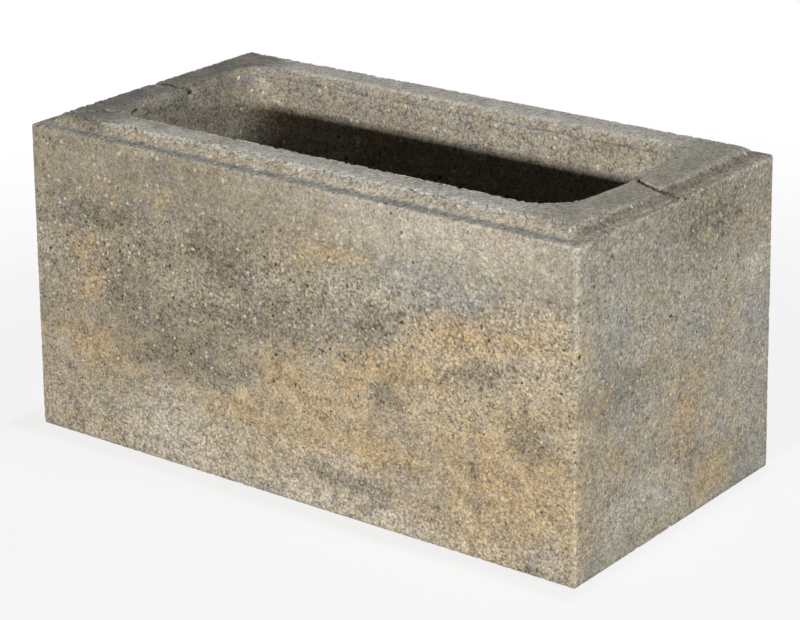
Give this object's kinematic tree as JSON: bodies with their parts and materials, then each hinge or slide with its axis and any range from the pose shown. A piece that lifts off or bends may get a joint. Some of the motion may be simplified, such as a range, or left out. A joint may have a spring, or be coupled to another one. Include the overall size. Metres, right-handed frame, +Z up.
{
  "type": "hollow concrete block",
  "caption": "Hollow concrete masonry block with a through core with rounded corners, walls of even thickness and a raised bevelled rim around the top.",
  "frame": {"origin": "middle of the bed, the flat bottom face", "axes": "+X along the length, +Y from the front to the back, +Z up through the core"},
  "size_m": [0.3946, 0.2046, 0.198],
  "materials": {
    "concrete": "dry-pressed concrete in clouds of beige, ochre and grey, with fine sand and small pits"
  },
  "bodies": {
    "root": {"block": "concrete"}
  },
  "joints": []
}
